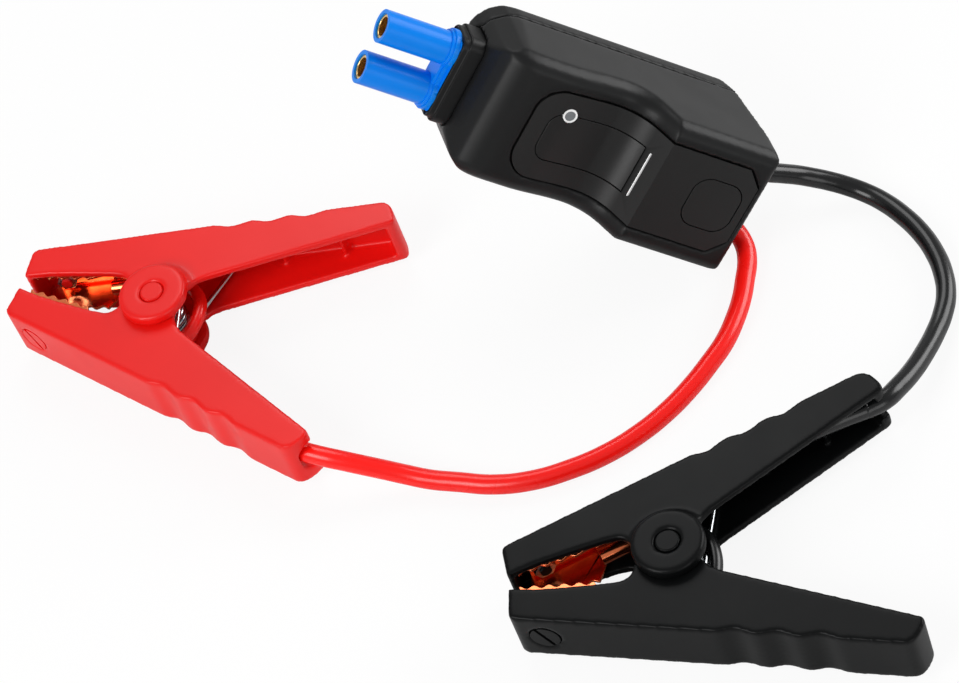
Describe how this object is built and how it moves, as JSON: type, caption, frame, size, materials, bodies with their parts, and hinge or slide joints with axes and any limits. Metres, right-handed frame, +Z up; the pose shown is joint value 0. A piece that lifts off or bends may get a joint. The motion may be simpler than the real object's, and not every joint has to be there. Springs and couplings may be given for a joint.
{
  "type": "smart jumper lead",
  "caption": "Jumper lead for a pocket jump starter: two-pole bullet connector on a control module with a boost button, two leads and two sprung clamps.",
  "frame": {"origin": "on the bench, under the middle of the box round the module and the two clamps", "axes": "+Z up from the bench; +Y along the longest side of the box, away from the black clamp and towards the red one; +X from the red clamp to the black one"},
  "size_m": [0.2328, 0.2224, 0.0909],
  "materials": {
    "case_plastic": "fine moulded texture",
    "panel_plastic": "satin",
    "window_plastic": "smooth",
    "light_pipe": "clear diffuse",
    "lens_plastic": "frosted",
    "bright_ring": "bright",
    "relay_case": "moulded",
    "green_laminate": "solder mask",
    "capacitor_can": "sleeved can",
    "blue_nylon": "smooth",
    "gold_contact": "gold plated",
    "copper_plate": "copper plated",
    "zinc_steel": "zinc plated",
    "black_silicone": "smooth silicone",
    "red_silicone": "smooth silicone",
    "red_moulding": "satin moulded",
    "black_moulding": "satin moulded"
  },
  "bodies": {
    "root": {"lower_shell": "case_plastic", "upper_shell": "case_plastic", "trim_panel": "panel_plastic", "panel_window": "window_plastic", "light_bar": "light_pipe", "led_lens": "lens_plastic", "led_bezel": "bright_ring", "button_switch": "relay_case", "switch_board": "green_laminate", "power_board": "green_laminate", "power_relay": "relay_case", "capacitors": "capacitor_can", "connector_body": "blue_nylon", "contact_sockets": "gold_contact", "contact_straps": "copper_plate", "connector_collar": "case_plastic", "case_screws": "zinc_steel", "red_grommet": "black_silicone", "black_grommet": "black_silicone", "red_lead_tail": "red_silicone", "black_lead_tail": "black_silicone", "red_lead": "red_silicone", "black_lead": "black_silicone", "red_cabled_handle": "red_moulding", "red_cabled_jaw": "copper_plate", "red_cabled_jaw_screw": "red_moulding", "red_cabled_jaw_nut": "zinc_steel", "red_cabled_lug": "copper_plate", "red_pivot_pin": "red_moulding", "red_spring_sleeve": "zinc_steel", "red_torsion_spring": "zinc_steel", "red_bridge_wire": "red_silicone", "red_handle_lead": "red_silicone", "black_cabled_handle": "black_moulding", "black_cabled_jaw": "copper_plate", "black_cabled_jaw_screw": "black_moulding", "black_cabled_jaw_nut": "zinc_steel", "black_cabled_lug": "copper_plate", "black_pivot_pin": "black_moulding", "black_spring_sleeve": "zinc_steel", "black_torsion_spring": "zinc_steel", "black_bridge_wire": "black_silicone", "black_handle_lead": "black_silicone"},
    "red_squeeze_side": {"red_squeeze_handle": "red_moulding", "red_squeeze_jaw": "copper_plate", "red_squeeze_jaw_screw": "red_moulding", "red_squeeze_jaw_nut": "zinc_steel", "red_squeeze_lug": "copper_plate"},
    "black_squeeze_side": {"black_squeeze_handle": "black_moulding", "black_squeeze_jaw": "copper_plate", "black_squeeze_jaw_screw": "black_moulding", "black_squeeze_jaw_nut": "zinc_steel", "black_squeeze_lug": "copper_plate"},
    "boost_button": {"boost_button": "panel_plastic"}
  },
  "joints": [
    {"name": "red_clamp_hinge", "type": "hinge", "parent": "root", "child": "red_squeeze_side", "pos_m": [-0.0624, 0.078, 0.0116], "axis": [0, 0, -1], "range_deg": [0, 36], "stiffness_Nm_per_rad": 0.3, "springref_deg": -51.57, "deforming": ["red_torsion_spring", "red_bridge_wire"]},
    {"name": "black_clamp_hinge", "type": "hinge", "parent": "root", "child": "black_squeeze_side", "pos_m": [0.0356, -0.0605, 0.0116], "axis": [0, 0, 1], "range_deg": [0, 36], "stiffness_Nm_per_rad": 0.3, "springref_deg": -51.57, "deforming": ["black_torsion_spring", "black_bridge_wire"]},
    {"name": "boost_button_press", "type": "slide", "parent": "root", "child": "boost_button", "axis": [0.0091, 0.9691, -0.2464], "range_m": [0, 0.0008], "stiffness_N_per_m": 1500, "springref_m": -0.0004}
  ]
}
